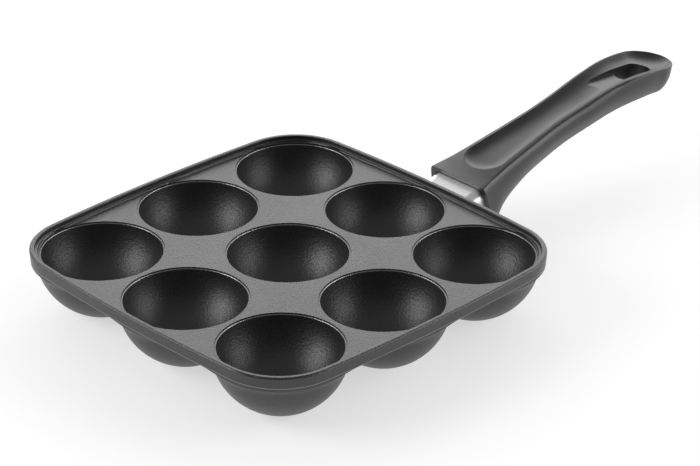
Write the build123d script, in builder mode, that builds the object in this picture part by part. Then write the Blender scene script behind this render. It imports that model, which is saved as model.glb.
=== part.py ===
# Aebleskiver pan: a square cast pan with nine round wells and a moulded handle.
# Millimetres. The origin is the middle of the centre well's flat foot, +Z is up, +X runs along the handle.
from build123d import *
import os
from math import sqrt, sin, cos, tan, atan2, degrees, radians

# Pan body
pan_side = 201.8  # across the middles of two facing sides
side_bow_radius = 988.0
corner_radius = 33.0
wall_draft = 4.0  # degrees
plate_thickness = 2.9
rim_height = 3.1  # above the plate
rim_width = 2.65
ledge_height = 1.5
ledge_width = 1.4
rim_edge_round = 1.0
rim_inner_round = 0.5
ledge_edge_round = 0.4
foot_fillet = 0.9  # where the ledge runs into the plate

# Wells
corner_well_margin = 36.9  # from the middle of a corner well to the sides of the pan
side_well_margin = 34.9  # from the middle of a side's well to that side
well_land = 4.1  # plate left between a well at the middle of the pan and a corner's, along a side
ball_rise = 2.15  # of the middle of a well's ball above the plate
well_edge_round = 0.3
well_ring_width = 0.6  # narrow flat ring round each well
well_ring_depth = 0.45  # below the plate
well_floor = 2.8
shell_wall = 2.65  # how much larger the radius of a bowl's outside is than its well's
shell_flare = 8.0  # where a shell runs into the plate

# Handle frame: along the handle from the mouth of the grip, and up at a right angle to that
handle_tilt = 14.0  # degrees
mouth_gap = 20.5  # level, from the pan's side to the middle of the mouth
mouth_drop = 14.0  # below the top of the plate

# Grip
grip_length = 144.2  # from the mouth to the centre of the round end
mouth_height = 28.4
mouth_width = 36.6  # between the edges of the top face
grip_end_tilt = 22.0  # degrees, the nod of the end below the handle's line
grip_bulge = 1.6  # how far the sides stand out past the edges of the top face
grip_bulge_drop = 5.0  # how far below the top face they stand out most
grip_crown = 0.5
grip_edge_round = 0.7
dish_border = 2.6  # top face left beside the dish, at the mouth's end
dish_end_border = 1.1
dish_depth = 2.2
dish_end_depth = 4.2
slot_width = 13.4
slot_length = 42.8
slot_through_length = 22.0
slot_tip_gap = 13.9  # level, from the slot's far end to the tip of the top face
slot_shelf_height = 15.9  # above the plate's top, where the shelf meets the way through
slot_shelf_fall = 2.5  # degrees

# Stations along the grip: place, height of the top edges, half width between them, depth of the
# section, fullness of its sides and how squarely they turn under. Place is a share of the grip's
# length, fullness of the bulge, and the next three of the mouth's half height, half width and height.
grip_station_shares = [
    (0.000, 1.000, 1.000, 1.000, 1.0, 0.93),
    (0.083, 0.954, 0.885, 0.825, 1.0, 0.89),
    (0.160, 0.930, 0.811, 0.700, 1.0, 0.84),
    (0.205, 0.910, 0.779, 0.657, 1.0, 0.82),
    (0.250, 0.887, 0.751, 0.620, 1.0, 0.80),
    (0.361, 0.827, 0.683, 0.580, 1.0, 0.78),
    (0.485, 0.757, 0.639, 0.550, 1.0, 0.78),
    (0.610, 0.676, 0.667, 0.550, 1.0, 0.78),
    (0.735, 0.606, 0.713, 0.580, 0.8, 0.78),
    (0.867, 0.380, 0.809, 0.600, 0.3, 0.78),
    (0.935, 0.182, 0.836, 0.594, 0.05, 0.78),
    (1.000, -0.049, 0.844, 0.585, -0.2, 0.78),
]
dish_first_station = 2  # the hollow's round start is turned about this station

# Sleeve between pan and grip
ferrule_side_inset = 0.8  # of the sleeve from the side of the mouth
ferrule_edge_inset = 3.0  # of the sleeve from the top and the underside of the mouth
ferrule_corner = 5.0
ferrule_root_width = 33.4
ferrule_root_height = 19.6
ferrule_lift = 0.8  # the sleeve's middle above the handle's line
ferrule_wall = 0.9
ferrule_overlap = 4.0  # inside the mouth of the grip
ferrule_length = 20.0
sleeve_clearance = 0.15
seat_gap = 0.2

# Root cast on the pan
collar_thickness = 3.0
spigot_length = 8.0
lug_width = 26.0
lug_foot = 5.6  # the underside of the lug above the foot plane
lug_length = 22.9  # level, from where it starts inside a bowl to the pan's side
tongue_width = 14.0
tongue_height = 8.0
tongue_lift = 4.0  # the tongue's middle above the handle's line
tongue_length = 32.0  # past the mouth of the grip
tongue_round = 1.5

# Screw and washers, from below into the tongue
screw_position = 14.5  # from the mouth
screw_diameter = 5.0
screw_length = 12.0
screw_head_diameter = 9.5
screw_head_height = 3.0
screw_head_round = 1.2
screw_chamfer = 0.6
screw_slot_length = 5.2
screw_slot_width = 1.2
screw_slot_depth = 1.5
washer_diameter = 10.0
washer_thickness = 1.0
spring_washer_diameter = 8.6
spring_washer_thickness = 1.3
spring_washer_split = 0.8
washer_hole = 5.4
screw_web = 3.0  # grip left between the pocket and the washers
screw_hole = 5.6
screw_well_diameter = 11.0
thread_clearance = 0.05

cut_overrun = 6.0

# Wells and the bowls round them, from the size of the pan
well_pitch = pan_side / 2 - corner_well_margin
mid_well_pitch = pan_side / 2 - side_well_margin
well_radius = (well_pitch - well_land) / 2
well_depth = well_radius - ball_rise
shell_radius = well_radius + shell_wall

# Heights of the pan above the foot plane
plate_top = well_depth + well_floor
rim_top = plate_top + rim_height
ledge_top = plate_top + ledge_height
plate_under = plate_top - plate_thickness

# The nine wells
well_places = [(0, 0)]
for turn in range(4):
    reach = Vector(mid_well_pitch, 0).rotate(Axis.Z, 90 * turn)
    corner = Vector(well_pitch, well_pitch).rotate(Axis.Z, 90 * turn)
    well_places += [(reach.X, reach.Y), (corner.X, corner.Y)]


def pan_outline(height, inset):
    """Square with bowed sides and round corners at one height, inside the pan's widest outline."""
    side = side_bow_radius - inset
    round_off = corner_radius - inset
    middle = pan_side / 2 - side_bow_radius
    between = side_bow_radius - corner_radius
    corner = (middle + sqrt(2 * between**2 - middle**2)) / 2
    meet = Vector(middle + side * (corner - middle) / between, side * corner / between)
    tip = corner + round_off / sqrt(2)
    bow = [Vector(meet.X, -meet.Y), Vector(middle + side, 0), meet]
    bend = [meet, Vector(tip, tip), Vector(meet.Y, meet.X)]
    with BuildSketch(Plane.XY.offset(height)) as outline:
        with BuildLine():
            for turn in range(4):
                ThreePointArc([point.rotate(Axis.Z, 90 * turn) for point in bow])
                ThreePointArc([point.rotate(Axis.Z, 90 * turn) for point in bend])
        make_face()
    return outline.sketch


def upright(x, y):
    """Plane that stands on the plate's top at one well, for profiles drawn in X and Z."""
    return Plane(origin=(x, y, plate_top), x_dir=(1, 0, 0), z_dir=(0, -1, 0))


def middle_of_turn(start, end, radius):
    """Point of a circle halfway between two directions given from its centre."""
    across, up = start[0] + end[0], start[1] + end[1]
    size = sqrt(across**2 + up**2)
    return (radius * across / size, radius * up / size)


def shell_profile(x, y):
    """Half of one bowl's outside, from its flat foot to the flare under the plate."""
    foot = (sqrt(shell_radius**2 - plate_top**2), -plate_top)
    flare_drop = plate_thickness + shell_flare
    flare_reach = sqrt((shell_radius + shell_flare) ** 2 - flare_drop**2)
    share = shell_radius / (shell_radius + shell_flare)
    meet = (flare_reach * share, -flare_drop * share)
    under = (flare_reach, -plate_thickness)
    back = (meet[0] - flare_reach, meet[1] + flare_drop)
    turn = middle_of_turn(back, (0, shell_flare), shell_flare)
    with BuildSketch(upright(x, y)) as profile:
        with BuildLine():
            Line((0, -plate_top), foot)
            ThreePointArc(foot, middle_of_turn(foot, meet, shell_radius), meet)
            ThreePointArc(meet, (flare_reach + turn[0], turn[1] - flare_drop), under)
            Line(under, (flare_reach, 0))
            Line((flare_reach, 0), (0, 0))
            Line((0, 0), (0, -plate_top))
        make_face()
    return profile.sketch


def well_profile(x, y):
    """Half of one well's inside, with its rounded edge, the ring round it and room above the plate."""
    lip = ball_rise + well_ring_depth + well_edge_round
    mouth = sqrt((well_radius + well_edge_round) ** 2 - lip**2)
    share = well_radius / (well_radius + well_edge_round)
    meet = (mouth * share, ball_rise - lip * share)
    ring_inside = (mouth, -well_ring_depth)
    ring_outside = (mouth + well_ring_width, -well_ring_depth)
    side = middle_of_turn((0, -well_radius), (mouth, -lip), well_radius)
    back = (meet[0] - mouth, meet[1] + well_ring_depth + well_edge_round)
    turn = middle_of_turn(back, (0, well_edge_round), well_edge_round)
    with BuildSketch(upright(x, y)) as profile:
        with BuildLine():
            ThreePointArc((0, -well_depth), (side[0], side[1] + ball_rise), meet)
            ThreePointArc(meet, (mouth + turn[0], turn[1] - well_ring_depth - well_edge_round), ring_inside)
            Line(ring_inside, ring_outside)
            Line(ring_outside, (ring_outside[0], cut_overrun))
            Line((ring_outside[0], cut_overrun), (0, cut_overrun))
            Line((0, cut_overrun), (0, -well_depth))
        make_face()
    return profile.sketch


# Handle frame
tilt = radians(handle_tilt)
handle_line = Vector(cos(tilt), 0, sin(tilt))
handle_up = Vector(-sin(tilt), 0, cos(tilt))
mouth_middle = Vector(pan_side / 2 + mouth_gap, 0, plate_top - mouth_drop)


def on_handle(along, up):
    return mouth_middle + handle_line * along + handle_up * up


def across_handle(along, up=0, nod=0):
    """Plane across the handle, X to the left, Y up, tipped forward by nod degrees."""
    ahead = handle_line * cos(radians(nod)) - handle_up * sin(radians(nod))
    return Plane(origin=on_handle(along, up), x_dir=(0, 1, 0), z_dir=ahead)


def along_screw(up):
    """Plane square to the handle screw, at one height in the handle's frame."""
    return Plane(origin=on_handle(screw_position, up), x_dir=(0, 1, 0), z_dir=handle_up)


def face_at(part, height):
    """The level face of a part at one height."""
    level = part.faces().filter_by(Plane.XY).filter_by_position(Axis.Z, height - seat_gap, height + seat_gap)
    return level.sort_by(SortBy.AREA)[-1]


# Sleeve sections run straight from the root end to the end inside the mouth
ferrule_root = ferrule_overlap - ferrule_length
ferrule_width = mouth_width - 2 * ferrule_side_inset
ferrule_height = mouth_height - 2 * ferrule_edge_inset


def sleeve_section(along, inset):
    """Rounded rectangle of the sleeve at one place along the handle, shrunk by inset."""
    share = (along - ferrule_root) / ferrule_length
    width = ferrule_root_width + (ferrule_width - ferrule_root_width) * share
    height = ferrule_root_height + (ferrule_height - ferrule_root_height) * share
    with BuildSketch(across_handle(along, ferrule_lift)) as section:
        RectangleRounded(width - 2 * inset, height - 2 * inset, ferrule_corner - inset)
    return section.sketch


# Grip sections stand square to the line of the top edges
last_station = len(grip_station_shares) - 1


def station(k):
    """Plane, half width, depth, bulge, turn and share of the length at one station of the grip."""
    place, top, half, depth, fullness, turn = grip_station_shares[k]
    nod = 0
    if k == last_station:
        nod = grip_end_tilt
    elif k > 0:
        before, after = grip_station_shares[k - 1], grip_station_shares[k + 1]
        fall = (before[1] - after[1]) * mouth_height / 2
        nod = degrees(atan2(fall, (after[0] - before[0]) * grip_length))
    plane = across_handle(place * grip_length, top * mouth_height / 2, nod)
    return plane, half * mouth_width / 2, depth * mouth_height, fullness * grip_bulge, turn, place


def grip_section(k, half_only=False):
    """Outline of the grip across one station: crowned top, rounded edges, full sides, round underside."""
    plane, half, depth, bulge, turn, place = station(k)
    inner = (half - grip_edge_round, 0)
    outer = (half + bulge / 5, -grip_edge_round)
    wide = (half + bulge, -grip_bulge_drop)
    low = (wide[0] * turn, -grip_bulge_drop - (depth - grip_bulge_drop) * turn)
    fall = (inner[0], -2 * grip_crown)
    splay = (bulge, -grip_bulge_drop / 2)
    with BuildSketch(plane) as section:
        with BuildLine() as outline:
            Spline((0, grip_crown), inner, tangents=((1, 0), fall))
            Spline(inner, outer, tangents=(fall, splay))
            Spline(outer, wide, low, (0, -depth), tangents=(splay, (-1, 0)))
            if half_only:
                Line((0, -depth), (0, grip_crown))
            else:
                mirror(outline.edges(), about=Plane.YZ)
        make_face()
    return section.sketch


def dish_section(k, half_only=False):
    """Outline of the hollow cut into the top face across one station, open above the crown."""
    plane, half, depth, bulge, turn, place = station(k)
    edge = half - dish_border + (dish_border - dish_end_border) * place
    deep = dish_depth + (dish_end_depth - dish_depth) * place**2
    over = 2 * grip_crown
    rise = (1, 1)
    with BuildSketch(plane) as section:
        with BuildLine() as outline:
            Spline((0, -deep), (edge, 0), tangents=((1, 0), rise))
            Line((edge, 0), (edge + over, over))
            if half_only:
                Line((edge + over, over), (0, over))
                Line((0, over), (0, -deep))
            else:
                mirror(outline.edges(), about=Plane.YZ)
                Line((-edge - over, over), (edge + over, over))
        make_face()
    return section.sketch


def turning_axis(k, way):
    """Axis up the middle of one station, for the round ends of the grip and of its hollow."""
    plane = station(k)[0]
    return Axis(plane.origin, plane.y_dir * way)


with BuildPart() as pan_casting:
    # Plate and rim blank with nine bowls below it, trimmed to the drafted outline
    with BuildSketch(Plane.XY.offset(plate_under)):
        Rectangle(pan_side + cut_overrun, pan_side + cut_overrun)
    extrude(amount=rim_top - plate_under)
    for x, y in well_places:
        revolve(shell_profile(x, y), axis=Axis((x, y, 0), (0, 0, 1)))
    extrude(pan_outline(rim_top, 0), amount=-rim_top, taper=wall_draft, mode=Mode.INTERSECT)
    # Handle root: lug, collar, spigot inside the sleeve and tongue inside the grip
    collar_back = ferrule_root - seat_gap - collar_thickness
    collar_top = on_handle(collar_back, ferrule_lift + ferrule_root_height / 2)
    collar_foot = on_handle(collar_back, ferrule_lift - ferrule_root_height / 2)
    lug_start = pan_side / 2 - lug_length
    with BuildSketch(Plane.XZ):
        with BuildLine():
            Polyline(
                (lug_start, plate_under),
                (pan_side / 2 - rim_width, plate_under),
                (collar_top.X + collar_thickness / 2, collar_top.Z),
                (collar_foot.X + collar_thickness / 2, collar_foot.Z + collar_thickness),
                (collar_foot.X - collar_thickness, lug_foot),
                (lug_start, lug_foot),
                close=True,
            )
        make_face()
    extrude(amount=lug_width / 2, both=True)
    with BuildSketch(across_handle(collar_back, ferrule_lift)):
        RectangleRounded(ferrule_root_width, ferrule_root_height, ferrule_corner)
    extrude(amount=collar_thickness)
    spigot_inset = ferrule_wall + sleeve_clearance
    spigot_start = ferrule_root - seat_gap
    loft([sleeve_section(end, spigot_inset) for end in (spigot_start, spigot_start + spigot_length)])
    with BuildSketch(across_handle(spigot_start, tongue_lift)):
        RectangleRounded(tongue_width, tongue_height, tongue_round)
    extrude(amount=tongue_length - spigot_start)
    # Recess inside the rim, in two steps
    extrude(pan_outline(rim_top, rim_width), amount=ledge_top - rim_top, mode=Mode.SUBTRACT)
    ledge_outline = pan_outline(ledge_top, rim_width + ledge_width)
    extrude(ledge_outline, amount=plate_top - ledge_top, mode=Mode.SUBTRACT)
    # Rounded rim and ledge, and a soft foot where the ledge meets the plate
    fillet(face_at(pan_casting, rim_top).outer_wire().edges(), rim_edge_round)
    fillet(face_at(pan_casting, rim_top).inner_wires()[0].edges(), rim_inner_round)
    fillet(face_at(pan_casting, ledge_top).inner_wires()[0].edges(), ledge_edge_round)
    fillet(face_at(pan_casting, plate_top).outer_wire().edges(), foot_fillet)
    for x, y in well_places:
        revolve(well_profile(x, y), axis=Axis((x, y, 0), (0, 0, 1)), mode=Mode.SUBTRACT)
    # Tapped hole through the tongue
    tongue_under = tongue_lift - tongue_height / 2
    with BuildSketch(along_screw(tongue_under - cut_overrun)):
        Circle(screw_diameter / 2 + thread_clearance)
    extrude(amount=tongue_height + 2 * cut_overrun, mode=Mode.SUBTRACT)


with BuildPart() as ferrule:
    ends = (ferrule_root, ferrule_overlap)
    loft([sleeve_section(end, 0) for end in ends])
    loft([sleeve_section(end, ferrule_wall) for end in ends], mode=Mode.SUBTRACT)


# Hollow in the grip's top face, round at both ends
with BuildPart() as dish_cut:
    loft([dish_section(k) for k in range(dish_first_station, last_station + 1)])
    for k, way in ((dish_first_station, 1), (last_station, -1)):
        revolve(dish_section(k, half_only=True), axis=turning_axis(k, way), revolution_arc=180)


# Hanging slot: a shelf on the pan's side that leads to a straight way through
grip_tip = station(last_station)[0].origin.X + station(last_station)[1]
slot_end = grip_tip - slot_tip_gap
shelf_edge = slot_end - slot_through_length
shelf_plane = Plane(origin=(shelf_edge, 0, plate_top + slot_shelf_height)).rotated((0, slot_shelf_fall, 0))
with BuildPart() as slot_cut:
    with BuildSketch(shelf_plane):
        with Locations((slot_through_length - slot_length / 2, 0)):
            SlotOverall(slot_length, slot_width)
    extrude(amount=mouth_height)
    with BuildSketch(Plane.XY):
        with Locations((slot_end - slot_through_length / 2, 0)):
            SlotOverall(slot_through_length, slot_width)
    extrude(amount=plate_top + slot_shelf_height + mouth_height)


# Heights of the screw's stack in the handle's frame, from the pocket down
pocket_under = tongue_under - sleeve_clearance
screw_seat = pocket_under - screw_web
spring_top = screw_seat - washer_thickness
head_top = spring_top - spring_washer_thickness
head_middle = on_handle(screw_position, head_top)

with BuildPart() as handle_grip:
    loft([grip_section(k) for k in range(last_station + 1)])
    end_half = grip_section(last_station, half_only=True)
    revolve(end_half, axis=turning_axis(last_station, -1), revolution_arc=180)
    add(dish_cut.part, mode=Mode.SUBTRACT)
    add(slot_cut.part, mode=Mode.SUBTRACT)
    # Recess for the sleeve, and behind it the pocket for the tongue
    with BuildSketch(across_handle(0, ferrule_lift)):
        RectangleRounded(
            ferrule_width + 2 * sleeve_clearance,
            ferrule_height + 2 * sleeve_clearance,
            ferrule_corner + sleeve_clearance,
        )
    extrude(amount=ferrule_overlap + seat_gap, mode=Mode.SUBTRACT)
    with BuildSketch(across_handle(0, tongue_lift)):
        RectangleRounded(
            tongue_width + 2 * sleeve_clearance,
            tongue_height + 2 * sleeve_clearance,
            tongue_round + sleeve_clearance,
        )
    extrude(amount=tongue_length + seat_gap, mode=Mode.SUBTRACT)
    # Screw hole from below
    with BuildSketch(along_screw(screw_seat)):
        Circle(screw_hole / 2)
    extrude(amount=screw_web + tongue_height / 2, mode=Mode.SUBTRACT)
    with BuildSketch(along_screw(screw_seat)):
        Circle(screw_well_diameter / 2)
    extrude(amount=-mouth_height / 2, mode=Mode.SUBTRACT)


with BuildPart() as plain_washer:
    with BuildSketch(along_screw(spring_top)):
        Circle(washer_diameter / 2)
        Circle(washer_hole / 2, mode=Mode.SUBTRACT)
    extrude(amount=washer_thickness)


with BuildPart() as spring_washer:
    with BuildSketch(along_screw(head_top)):
        Circle(spring_washer_diameter / 2)
        Circle(washer_hole / 2, mode=Mode.SUBTRACT)
        with Locations((spring_washer_diameter / 2, 0)):
            Rectangle(spring_washer_diameter, spring_washer_split, mode=Mode.SUBTRACT)
    extrude(amount=spring_washer_thickness)


with BuildPart() as handle_screw:
    with BuildSketch(along_screw(head_top)):
        Circle(screw_diameter / 2)
    extrude(amount=screw_length)
    chamfer(handle_screw.edges().sort_by(Axis(head_middle, handle_up))[-1], screw_chamfer)
    with BuildSketch(along_screw(head_top)):
        Circle(screw_head_diameter / 2)
    extrude(amount=-screw_head_height)
    fillet(handle_screw.edges().sort_by(Axis(head_middle, handle_up))[0], screw_head_round)
    with BuildSketch(along_screw(head_top - screw_head_height)):
        for turn in (0, 90):
            Rectangle(screw_slot_length, screw_slot_width, rotation=turn)
    extrude(amount=screw_slot_depth, mode=Mode.SUBTRACT)


os.makedirs("parts", exist_ok=True)
pieces = {
    "pan_casting": pan_casting,
    "ferrule": ferrule,
    "handle_grip": handle_grip,
    "handle_screw": handle_screw,
    "spring_washer": spring_washer,
    "plain_washer": plain_washer,
}
for name, piece in pieces.items():
    piece.part.label = name
    export_step(piece.part, f"parts/{name}.step")
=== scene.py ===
"""Aebleskiver pan: finishes, floor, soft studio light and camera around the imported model.

Lengths are in metres, angles in degrees and the power of lamps in watts.
"""
from math import cos, radians, sin

import bpy
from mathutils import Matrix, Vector


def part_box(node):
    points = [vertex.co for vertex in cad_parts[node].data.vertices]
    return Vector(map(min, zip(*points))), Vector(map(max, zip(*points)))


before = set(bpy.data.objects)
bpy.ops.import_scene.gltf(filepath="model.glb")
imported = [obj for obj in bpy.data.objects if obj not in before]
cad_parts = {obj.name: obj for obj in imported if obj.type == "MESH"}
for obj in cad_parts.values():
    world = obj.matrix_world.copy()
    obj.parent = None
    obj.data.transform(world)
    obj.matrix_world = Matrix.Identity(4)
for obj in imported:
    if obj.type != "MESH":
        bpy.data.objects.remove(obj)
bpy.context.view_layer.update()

# Camera, aimed at a point near the middle of the pan and its handle. Azimuths are from +X.
camera_target = Vector((0.03551, -0.00655, 0.0306))
camera_azimuth = -133.93
camera_elevation = 27.77
camera_distance = 1.4333
camera_lens = 149.8
camera_sensor = 36.0
camera_nearest = 0.01
camera_farthest = 50.0

# Non-stick coating of the casting
coating_dark = (0.005, 0.005, 0.0052, 1.0)
coating_light = (0.013, 0.013, 0.0134, 1.0)
coating_grain = 0.0011
coating_contrast = 0.9
coating_patch = 0.035
coating_unevenness = 0.25
coating_rough = 0.41
coating_gloss = 0.85
coating_bump = 0.6
coating_bump_height = 0.0003

# Wear of the coating on the flat feet of the bowls
coating_worn = (0.075, 0.075, 0.077, 1.0)
foot_height = 0.0004  # wear reaches this far up
scuff_size = 0.004
scuff_contrast = 1.6

# Painted highlight of the casting: bright metal in place of the coating on the wells' rounded lips and,
# fainter, along the lower edge of its wall
pan_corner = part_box("pan_casting")[1]  # its y is at a side of the pan, and its z at the top of the rim
painted_highlight_colour = (0.42, 0.42, 0.42, 1.0)
painted_highlight_rough = 0.27
lip_drop = 0.0038  # from the top of the rim to the middle of a well's rounded lip, where the highlight is painted
lip_reach = 0.0002  # half the height of the painted highlight band
edge_drop = 0.00587  # from the top of the rim to the lower edge of the wall, where a fainter highlight is painted
edge_reach = 0.00016
# Strength of the painted highlight along the lower edge of the wall
edge_highlight_share = 0.6
side_margin = 0.0043  # no well comes so near to a side, and the wall does
corner_margin = 0.0291  # the same at the pan's round corners, along x and y together
root_margin = 0.0004  # the handle's cast root reaches farther past the side than this, and the wall doesn't

# Moulded resin of the grip
phenolic_dark = (0.010, 0.010, 0.0103, 1.0)
phenolic_light = (0.018, 0.018, 0.0184, 1.0)
phenolic_grain = 0.0005
phenolic_contrast = 0.7
phenolic_patch = 0.025
phenolic_unevenness = 0.3
phenolic_rough = 0.38
phenolic_gloss = 0.62
phenolic_bump = 0.3
phenolic_bump_height = 0.00008

# Metals: dark tone, light tone, roughness and grain size
metal_rows = {
    "polished_steel": ((0.90, 0.90, 0.90, 1.0), (0.97, 0.97, 0.96, 1.0), 0.34, 0.0004),
    "zinc_plate": ((0.45, 0.46, 0.48, 1.0), (0.62, 0.63, 0.65, 1.0), 0.32, 0.0003),
}
metal_contrast = 0.8
metal_patch = 0.012
metal_unevenness = 0.5
metal_bump = 0.08
metal_bump_height = 0.00003

finish_of_piece = {
    "pan_casting": "speckled_coating",
    "ferrule": "polished_steel",
    "handle_grip": "satin_phenolic",
    "handle_screw": "zinc_plate",
    "spring_washer": "zinc_plate",
    "plain_washer": "zinc_plate",
}

# Noise behind the grain and the patches
grain_noise = {"Detail": 3.0, "Roughness": 0.6}
grain_span = (0.35, 0.65)  # part of the noise that is stretched to 0 and 1
patch_noise = {"Detail": 4.0, "Roughness": 0.55}
noise_middle = 0.5

# Floor
floor_side = 12.0
floor_colour = (0.80, 0.80, 0.80, 1.0)
floor_seen_colour = (0.52, 0.52, 0.52, 1.0)
floor_seen_glow = 0.60

# Lamps: name, azimuth, elevation, distance, width, height, power
lamp_rows = [
    ("softbox_left", 144.0, 28.0, 1.30, 0.90, 0.60, 7.5),
    ("softbox_right", -42.0, 17.0, 1.30, 1.10, 0.60, 7.0),
    ("softbox_behind", 44.0, 26.0, 2.20, 2.40, 1.05, 15.5),
]

# Room: white walls behind the pan, a dark one on the camera's side, and a plain ceiling
white = (1.0, 1.0, 1.0, 1.0)
room_behind = 1.1
room_in_front = 0.05
room_ceiling = 0.32
room_heights = (0.42, 0.85)  # sine of the elevation where the walls end and the ceiling begins
room_sides = (-0.35, 0.30)  # dark wall's end and white walls' start, from -1 in front to 1 behind
room_back_azimuth = 46.0


def fill(tree, node, values):
    """Gives each input named a plain value, or the output of another node."""
    for key, value in values.items():
        if isinstance(value, bpy.types.NodeSocket):
            tree.links.new(value, node.inputs[key])
        else:
            node.inputs[key].default_value = value


def add_node(tree, kind, values=None, **settings):
    """New node with its settings and its inputs filled."""
    node = tree.nodes.new(kind)
    for key, value in settings.items():
        setattr(node, key, value)
    fill(tree, node, values or {})
    return node


def maths(tree, operation, *terms, **settings):
    """Result of one Math node."""
    values = dict(enumerate(terms))
    return add_node(tree, "ShaderNodeMath", values, operation=operation, **settings).outputs[0]


def stretched(tree, value, low, high, start=0.0, end=1.0, **settings):
    """Value that runs from start to end while the given one runs from low to high."""
    values = {"Value": value, "From Min": low, "From Max": high, "To Min": start, "To Max": end}
    return add_node(tree, "ShaderNodeMapRange", values, **settings).outputs[0]


def two_tones(tree, mask, first, second):
    """Colour between two tones by a mask."""
    values = {"Factor": mask, "A": first, "B": second}
    return add_node(tree, "ShaderNodeMix", values, data_type="RGBA").outputs["Result"]


def new_group(name, inputs, outputs):
    """Empty shader group, its way in and its way out. Inputs start at the values given."""
    group = bpy.data.node_groups.new(name, "ShaderNodeTree")
    for label, value in inputs.items():
        socket = group.interface.new_socket(label, in_out="INPUT", socket_type="NodeSocketFloat")
        socket.default_value = value
    for label in outputs:
        group.interface.new_socket(label, in_out="OUTPUT", socket_type="NodeSocketFloat")
    return group, group.nodes.new("NodeGroupInput"), group.nodes.new("NodeGroupOutput")


def noise_of_size(tree, size, settings):
    """Noise that lies still on the piece, with features of the given size."""
    place = add_node(tree, "ShaderNodeTexCoord")
    values = {"Vector": place.outputs["Object"], "Scale": maths(tree, "DIVIDE", 1.0, size), **settings}
    return add_node(tree, "ShaderNodeTexNoise", values).outputs["Fac"]


def make_fine_grain():
    """Small even grain: a mask between 0 and 1, and a height for bumps."""
    inputs = {"Grain Size": coating_grain, "Contrast": coating_contrast}
    group, start, end = new_group("fine_grain", inputs, ["Mask", "Height"])
    noise = noise_of_size(group, start.outputs["Grain Size"], grain_noise)
    centred = maths(group, "SUBTRACT", stretched(group, noise, *grain_span), noise_middle)
    scaled = maths(group, "MULTIPLY", centred, start.outputs["Contrast"])
    mask = maths(group, "ADD", scaled, noise_middle, use_clamp=True)
    fill(group, end, {"Mask": mask, "Height": noise})
    return group


def make_soft_patches():
    """Broad uneven patches, as from wiping and handling: a factor around 1."""
    inputs = {"Patch Size": coating_patch, "Amount": coating_unevenness}
    group, start, end = new_group("soft_patches", inputs, ["Factor"])
    noise = noise_of_size(group, start.outputs["Patch Size"], patch_noise)
    centred = maths(group, "SUBTRACT", noise, noise_middle)
    scaled = maths(group, "MULTIPLY", centred, start.outputs["Amount"])
    fill(group, end, {"Factor": maths(group, "ADD", scaled, 1.0)})
    return group


fine_grain = make_fine_grain()
soft_patches = make_soft_patches()


def grain_on(tree, size, contrast):
    """Fine grain placed in one material."""
    values = {"Grain Size": size, "Contrast": contrast}
    return add_node(tree, "ShaderNodeGroup", values, node_tree=fine_grain)


def uneven_roughness(tree, rough, patch, amount):
    """Roughness that wanders a little around one value."""
    values = {"Patch Size": patch, "Amount": amount}
    patches = add_node(tree, "ShaderNodeGroup", values, node_tree=soft_patches)
    return maths(tree, "MULTIPLY", patches.outputs["Factor"], rough)


def bumps(tree, grain, strength, height):
    """Normal of a surface with the grain's bumps on it."""
    values = {"Height": grain.outputs["Height"], "Strength": strength, "Distance": height}
    return add_node(tree, "ShaderNodeBump", values).outputs["Normal"]


def new_finish(name):
    """New material, its tree and its Principled shader."""
    material = bpy.data.materials.new(name)
    material.use_nodes = True
    return material, material.node_tree, material.node_tree.nodes["Principled BSDF"]


def painted_highlight_bands(tree, split):
    """Painted highlight mask: 1 on the wells' rounded lips, less along the lower edge of the pan's wall,
    else 0.
    """
    along = maths(tree, "ABSOLUTE", split.outputs["X"])
    across = maths(tree, "ABSOLUTE", split.outputs["Y"])
    farther = maths(tree, "MAXIMUM", along, across)
    together = maths(tree, "ADD", along, across)
    off_sides = maths(tree, "LESS_THAN", farther, pan_corner.y - side_margin)
    off_corners = maths(tree, "LESS_THAN", together, 2 * pan_corner.y - corner_margin)
    among_wells = maths(tree, "MULTIPLY", off_sides, off_corners)
    # Painted highlight on the wells' rounded lips
    lip_band = maths(tree, "COMPARE", split.outputs["Z"], pan_corner.z - lip_drop, lip_reach)
    lips = maths(tree, "MULTIPLY", lip_band, among_wells)
    # Fainter painted highlight along the lower edge of the wall
    edge_band = maths(tree, "COMPARE", split.outputs["Z"], pan_corner.z - edge_drop, edge_reach)
    wall_highlight = maths(tree, "SUBTRACT", edge_highlight_share, among_wells, use_clamp=True)
    off_root = maths(tree, "LESS_THAN", split.outputs["X"], pan_corner.y + root_margin)
    edge = maths(tree, "MULTIPLY", maths(tree, "MULTIPLY", edge_band, wall_highlight), off_root)
    return maths(tree, "MAXIMUM", lips, edge)


def make_coating():
    """Dark speckled coating, scuffed under the feet, with a painted highlight of bright metal on the wells'
    lips and a fainter one along the lower edge of the wall.
    """
    material, tree, shader = new_finish("speckled_coating")
    grain = grain_on(tree, coating_grain, coating_contrast)
    place = add_node(tree, "ShaderNodeTexCoord")
    split = add_node(tree, "ShaderNodeSeparateXYZ", {0: place.outputs["Object"]})
    near_foot = stretched(tree, split.outputs["Z"], foot_height, 0.0)
    scuffs = grain_on(tree, scuff_size, scuff_contrast)
    wear = maths(tree, "MULTIPLY", near_foot, scuffs.outputs["Mask"], use_clamp=True)
    speckled = two_tones(tree, grain.outputs["Mask"], coating_dark, coating_light)
    scuffed = two_tones(tree, wear, speckled, coating_worn)
    # Painted highlight: bright, glossier metal on the wells' lips and the wall's lower edge
    painted_highlight = painted_highlight_bands(tree, split)
    rough = uneven_roughness(tree, coating_rough, coating_patch, coating_unevenness)
    highlight_rough = add_node(tree, "ShaderNodeMix", {"Factor": painted_highlight, "A": rough, "B": painted_highlight_rough})
    fill(tree, shader, {
        "Base Color": two_tones(tree, painted_highlight, scuffed, painted_highlight_colour),
        "Metallic": painted_highlight,
        "Roughness": highlight_rough.outputs["Result"],
        "Specular IOR Level": coating_gloss,
        "Normal": bumps(tree, grain, coating_bump, coating_bump_height),
    })
    return material


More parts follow.
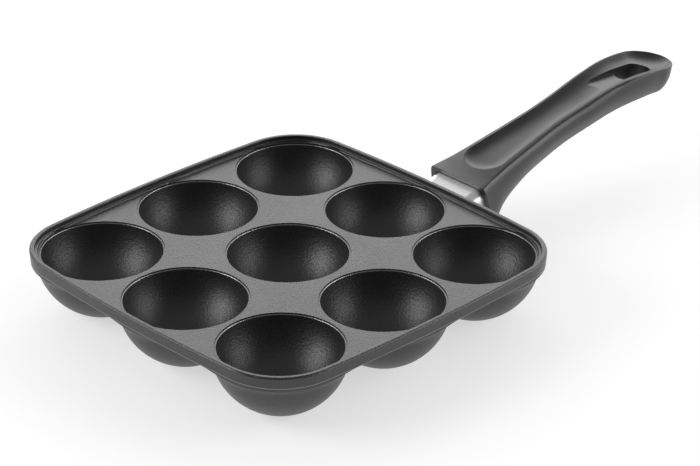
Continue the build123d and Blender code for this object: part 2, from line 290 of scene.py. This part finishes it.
def make_phenolic():
    """Satin moulded resin of the grip."""
    material, tree, shader = new_finish("satin_phenolic")
    grain = grain_on(tree, phenolic_grain, phenolic_contrast)
    fill(tree, shader, {
        "Base Color": two_tones(tree, grain.outputs["Mask"], phenolic_dark, phenolic_light),
        "Roughness": uneven_roughness(tree, phenolic_rough, phenolic_patch, phenolic_unevenness),
        "Specular IOR Level": phenolic_gloss,
        "Normal": bumps(tree, grain, phenolic_bump, phenolic_bump_height),
    })
    return material


def make_metal(name):
    """Bare metal with faint grain and slightly uneven polish."""
    material, tree, shader = new_finish(name)
    dark, light, rough, grain_size = metal_rows[name]
    grain = grain_on(tree, grain_size, metal_contrast)
    fill(tree, shader, {
        "Base Color": two_tones(tree, grain.outputs["Mask"], dark, light),
        "Metallic": 1.0,
        "Roughness": uneven_roughness(tree, rough, metal_patch, metal_unevenness),
        "Normal": bumps(tree, grain, metal_bump, metal_bump_height),
    })
    return material


def put_on_finishes():
    """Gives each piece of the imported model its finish."""
    finishes = {"speckled_coating": make_coating(), "satin_phenolic": make_phenolic()}
    for name in metal_rows:
        finishes[name] = make_metal(name)
    for piece_name, finish_name in finish_of_piece.items():
        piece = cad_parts[piece_name]
        piece.data.materials.clear()
        piece.data.materials.append(finishes[finish_name])


def watching_ray(tree):
    """1 for rays from the camera, in gloss and through clear things, else 0."""
    path = add_node(tree, "ShaderNodeLightPath")
    seen = maths(tree, "MAXIMUM", path.outputs["Is Camera Ray"], path.outputs["Is Glossy Ray"])
    return maths(tree, "MAXIMUM", seen, path.outputs["Is Transmission Ray"])


def make_floor_finish():
    """Pale floor that keeps the pan's shadow and looks white to the eye and in gloss."""
    material = bpy.data.materials.new("pale_floor")
    material.use_nodes = True
    tree = material.node_tree
    tree.nodes.clear()
    plain = add_node(tree, "ShaderNodeBsdfDiffuse", {"Color": floor_colour})
    seen = add_node(tree, "ShaderNodeBsdfDiffuse", {"Color": floor_seen_colour})
    glow = add_node(tree, "ShaderNodeEmission", {"Strength": floor_seen_glow})
    glowing = add_node(tree, "ShaderNodeAddShader", {0: seen.outputs[0], 1: glow.outputs[0]})
    shares = {0: watching_ray(tree), 1: plain.outputs[0], 2: glowing.outputs[0]}
    mix = add_node(tree, "ShaderNodeMixShader", shares)
    add_node(tree, "ShaderNodeOutputMaterial", {"Surface": mix.outputs[0]})
    return material


def add_floor():
    """Wide flat floor under the feet of the pan."""
    half = floor_side / 2
    mesh = bpy.data.meshes.new("floor")
    corners = [(-half, -half, 0), (half, -half, 0), (half, half, 0), (-half, half, 0)]
    mesh.from_pydata(corners, [], [(0, 1, 2, 3)])
    floor = bpy.data.objects.new("floor", mesh)
    floor.data.materials.append(make_floor_finish())
    bpy.context.scene.collection.objects.link(floor)


def add_room_light():
    """Light from the room: white walls behind, a dark one in front and a plain ceiling."""
    world = bpy.data.worlds.new("studio_room")
    world.use_nodes = True
    tree = world.node_tree
    turn = radians(room_back_azimuth)
    direction = add_node(tree, "ShaderNodeTexCoord").outputs["Generated"]
    split = add_node(tree, "ShaderNodeSeparateXYZ", {0: direction})
    facing = {0: direction, 1: (cos(turn), sin(turn), 0)}
    behind = add_node(tree, "ShaderNodeVectorMath", facing, operation="DOT_PRODUCT").outputs["Value"]
    soft = {"interpolation_type": "SMOOTHSTEP"}
    walls = stretched(tree, behind, *room_sides, room_in_front, room_behind, **soft)
    ceiling = stretched(tree, split.outputs["Z"], *room_heights, **soft)
    level = add_node(tree, "ShaderNodeMix", {"Factor": ceiling, "A": walls, "B": room_ceiling})
    fill(tree, tree.nodes["Background"], {"Color": white, "Strength": level.outputs["Result"]})
    bpy.context.scene.world = world


def place_and_aim(name, data, azimuth, elevation, distance):
    """New lamp or camera that looks at the camera's target."""
    level = cos(radians(elevation)) * distance
    rise = sin(radians(elevation)) * distance
    turn = radians(azimuth)
    offset = Vector((cos(turn) * level, sin(turn) * level, rise))
    thing = bpy.data.objects.new(name, data)
    thing.location = camera_target + offset
    thing.rotation_euler = offset.to_track_quat("Z", "Y").to_euler()
    bpy.context.scene.collection.objects.link(thing)
    return thing


def add_lamps():
    """Soft rectangular lamps that the camera doesn't see."""
    for name, azimuth, elevation, distance, width, height, power in lamp_rows:
        light = bpy.data.lights.new(name, "AREA")
        light.shape = "RECTANGLE"
        light.size = width
        light.size_y = height
        light.energy = power
        lamp = place_and_aim(name, light, azimuth, elevation, distance)
        lamp.visible_camera = False


def add_camera():
    """Camera with the photograph's view."""
    data = bpy.data.cameras.new("camera")
    data.lens = camera_lens
    data.sensor_width = camera_sensor
    data.clip_start = camera_nearest
    data.clip_end = camera_farthest
    camera = place_and_aim("camera", data, camera_azimuth, camera_elevation, camera_distance)
    bpy.context.scene.camera = camera


put_on_finishes()
add_floor()
add_room_light()
add_lamps()
add_camera()
bpy.context.scene.view_settings.view_transform = "Standard"
